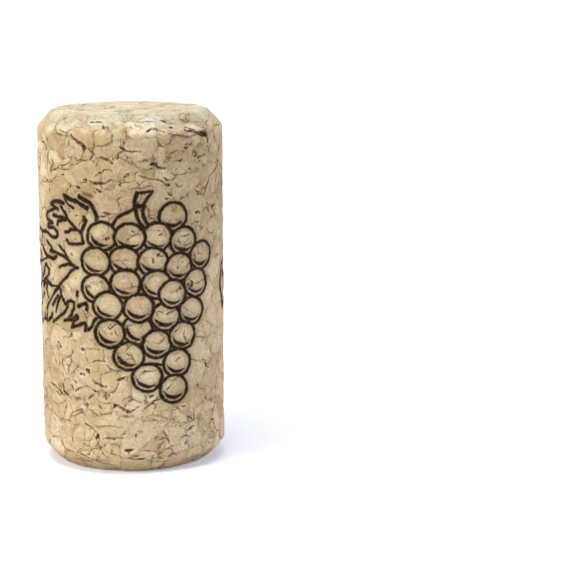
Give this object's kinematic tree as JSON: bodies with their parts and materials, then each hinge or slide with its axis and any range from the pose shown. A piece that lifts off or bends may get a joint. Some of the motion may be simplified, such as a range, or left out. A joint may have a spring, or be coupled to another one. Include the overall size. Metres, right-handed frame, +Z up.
{
  "type": "wine cork",
  "caption": "Cylindrical moulded-granule cork stopper with chamfered ends, open pores and a printed bunch of grapes with a vine leaf.",
  "frame": {"origin": "middle of the end face that the cork stands on", "axes": "+Z up along the cork's axis; -Y is the side that faces the viewer and carries the print"},
  "size_m": [0.023, 0.023, 0.044],
  "materials": {
    "cork": "matte granulated cork"
  },
  "bodies": {
    "root": {"cork": "cork"}
  },
  "joints": []
}
